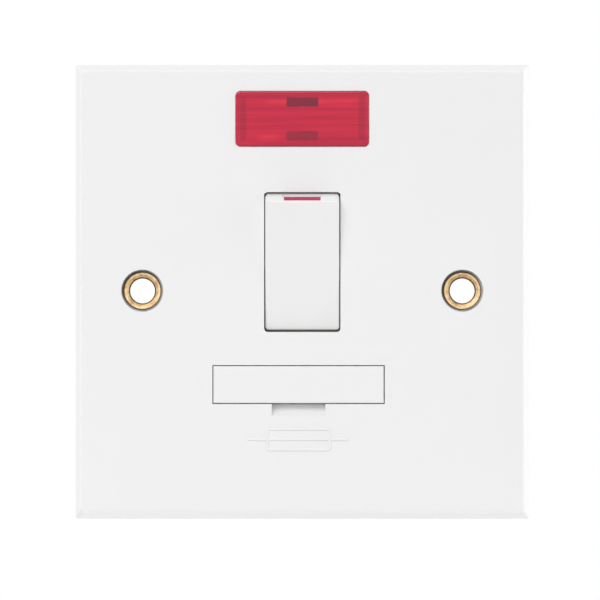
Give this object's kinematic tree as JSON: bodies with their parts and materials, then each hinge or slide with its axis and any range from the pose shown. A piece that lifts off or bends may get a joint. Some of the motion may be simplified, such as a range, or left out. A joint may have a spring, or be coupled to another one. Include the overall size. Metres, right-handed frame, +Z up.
{
  "type": "fused spur unit",
  "caption": "Square white wall plate with a double-pole rocker switch, pull-out fuse drawer, red neon indicator and brass-bushed fixing holes.",
  "frame": {"origin": "middle of the wall plane that the plate's rim rests on", "axes": "+X right across the plate, +Y back into the wall, +Z up; the front face looks along -Y"},
  "size_m": [0.086, 0.0273, 0.086],
  "materials": {
    "plate_white": "glossy urea moulding",
    "housing_grey": "satin moulded back",
    "lens_red": "clear red moulding",
    "flag_red": "satin red insert",
    "lamp_glass": "clear glass",
    "brass": "bright brass",
    "clip_bronze": "sprung phosphor bronze",
    "contact_silver": "silver alloy",
    "screw_steel": "zinc plated steel",
    "strap_steel": "tinned strap",
    "ceramic": "fired ceramic",
    "cap_nickel": "nickel plated caps",
    "lead_sleeve": "sleeved wire",
    "resistor_body": "lacquered body",
    "plunger_nylon": "natural nylon",
    "spring_steel": "bright spring wire"
  },
  "bodies": {
    "wall_unit": {"front_plate": "plate_white", "neon_lens": "lens_red", "neon_envelope": "lamp_glass", "neon_electrodes": "strap_steel", "neon_leads": "lead_sleeve", "neon_resistor": "resistor_body", "fixing_eyelet_left": "brass", "fixing_eyelet_right": "brass", "earth_strap": "brass", "supply_neutral_terminal": "brass", "supply_line_terminal": "brass", "supply_earth_terminal": "brass", "load_line_terminal": "brass", "load_neutral_terminal": "brass", "load_earth_terminal": "brass", "terminal_screws": "screw_steel", "supply_line_strip": "brass", "supply_neutral_strip": "brass", "line_pivot_strip": "brass", "neutral_pivot_strip": "brass", "load_line_strip": "brass", "fixed_contact_tips": "contact_silver", "fuse_clip_supply": "clip_bronze", "fuse_clip_load": "clip_bronze", "rear_housing": "housing_grey", "housing_screws": "screw_steel"},
    "rocker_unit": {"rocker": "plate_white", "on_flag": "flag_red", "rocker_plungers": "plunger_nylon", "plunger_springs": "spring_steel"},
    "line_contact": {"line_moving_contact": "clip_bronze", "line_contact_tip": "contact_silver"},
    "neutral_contact": {"neutral_moving_contact": "clip_bronze", "neutral_contact_tip": "contact_silver"},
    "fuse_drawer": {"fuse_carrier": "plate_white", "fuse_barrel": "ceramic", "fuse_end_caps": "cap_nickel"}
  },
  "joints": [
    {"name": "rocker_tilt", "type": "hinge", "parent": "wall_unit", "child": "rocker_unit", "pos_m": [0, -0.004, 0.00552], "axis": [1, 0, 0], "range_deg": [-16, 0]},
    {"name": "line_contact_tilt", "type": "hinge", "parent": "wall_unit", "child": "line_contact", "pos_m": [0.0036, 0.006, 0.00552], "axis": [1, 0, 0], "range_deg": [0, 16]},
    {"name": "neutral_contact_tilt", "type": "hinge", "parent": "wall_unit", "child": "neutral_contact", "pos_m": [-0.0036, 0.006, 0.00552], "axis": [1, 0, 0], "range_deg": [0, 16]},
    {"name": "fuse_drawer_slide", "type": "slide", "parent": "wall_unit", "child": "fuse_drawer", "axis": [0, -1, 0], "range_m": [0, 0.0155]}
  ],
  "couplings": [
    {"joint": "line_contact_tilt", "follows": "rocker_tilt", "ratio": -1},
    {"joint": "neutral_contact_tilt", "follows": "rocker_tilt", "ratio": -1}
  ]
}
